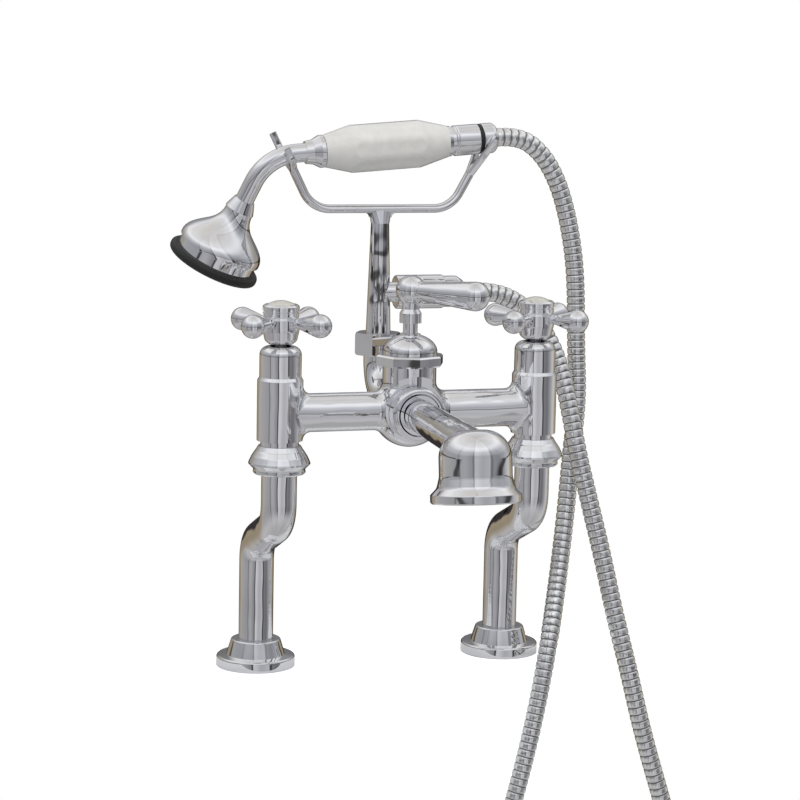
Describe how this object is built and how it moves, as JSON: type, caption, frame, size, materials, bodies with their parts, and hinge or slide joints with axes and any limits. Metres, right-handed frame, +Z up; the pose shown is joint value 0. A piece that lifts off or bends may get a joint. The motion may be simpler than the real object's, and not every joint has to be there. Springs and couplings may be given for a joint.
{
  "type": "bath shower mixer",
  "caption": "Deck-mounted bath shower mixer with cranked legs, crosshead handles, lever diverter, bell-ended spout, and a cradle holding a grip handset on a metal hose.",
  "frame": {"origin": "on the bath deck, midway between the axes of the feet", "axes": "+Z up from the deck, +X from the hot side to the cold side, -Y the way the spout reaches"},
  "size_m": [0.378, 0.3039, 0.7169],
  "materials": {
    "chrome": "polished plate",
    "hose_metal": "polished ribbed strip",
    "brass": "machined",
    "steel": "machined",
    "rubber": "matt black",
    "fibre": "pressed fibre",
    "porcelain": "glazed white",
    "enamel": "glazed white"
  },
  "bodies": {
    "mixer": {"back_nuts": "brass", "clamp_washers": "brass", "cold_bonnet": "chrome", "cold_foot_flange": "chrome", "cold_leg": "chrome", "cold_tail": "brass", "cold_union_nut": "chrome", "cold_valve": "brass", "cradle": "chrome", "cradle_screw": "steel", "deck_gaskets": "rubber", "diverter_bonnet": "chrome", "diverter_ring": "chrome", "hose": "hose_metal", "hose_nut": "chrome", "hose_washer": "fibre", "hot_bonnet": "chrome", "hot_foot_flange": "chrome", "hot_leg": "chrome", "hot_tail": "brass", "hot_union_nut": "chrome", "hot_valve": "brass", "mixer_body": "chrome", "outlet_nut": "chrome", "riser": "chrome", "riser_elbow": "chrome", "riser_nut": "chrome", "riser_washer": "fibre", "spout": "chrome", "spout_nut": "chrome", "spout_washer": "fibre", "union_washers": "fibre"},
    "hot_handle": {"hot_spindle": "steel", "hot_crosshead": "chrome", "hot_handle_screw": "steel", "hot_cap": "chrome", "hot_index_disc": "enamel"},
    "cold_handle": {"cold_spindle": "steel", "cold_crosshead": "chrome", "cold_handle_screw": "steel", "cold_cap": "chrome", "cold_index_disc": "enamel"},
    "diverter": {"diverter_stem": "chrome", "stem_nut": "chrome", "diverter_head": "chrome", "diverter_lever": "chrome"},
    "shuttle": {"diverter_shuttle": "steel"},
    "handset": {"handset_neck": "chrome", "handset_left_ferrule": "chrome", "handset_inner_tube": "brass", "handset_grip": "porcelain", "handset_right_ferrule": "chrome", "handset_nut": "chrome", "handset_gasket": "rubber", "hose_connector": "chrome", "rose_collar": "chrome", "rose_body": "chrome", "rose_plate": "chrome", "rose_rim": "rubber"}
  },
  "joints": [
    {"name": "hot_turn", "type": "hinge", "parent": "mixer", "child": "hot_handle", "pos_m": [-0.09, -0.059, 0.2477], "axis": [0, 0, 1], "range_deg": [0, 90]},
    {"name": "cold_turn", "type": "hinge", "parent": "mixer", "child": "cold_handle", "pos_m": [0.09, -0.059, 0.2477], "axis": [0, 0, 1], "range_deg": [-90, 0]},
    {"name": "diverter_turn", "type": "hinge", "parent": "mixer", "child": "diverter", "pos_m": [0, -0.059, 0.268], "axis": [0, 0, 1], "range_deg": [-90, 0]},
    {"name": "shuttle_slide", "type": "slide", "parent": "mixer", "child": "shuttle", "axis": [0, 1, 0], "range_m": [-0.0071, 0.0001]},
    {"name": "handset_lift", "type": "slide", "parent": "mixer", "child": "handset", "axis": [-0.0785, 0, 0.9969], "range_m": [0, 0.06]}
  ],
  "couplings": [
    {"joint": "shuttle_slide", "follows": "diverter_turn", "m_per_rad": 0.0044563}
  ]
}
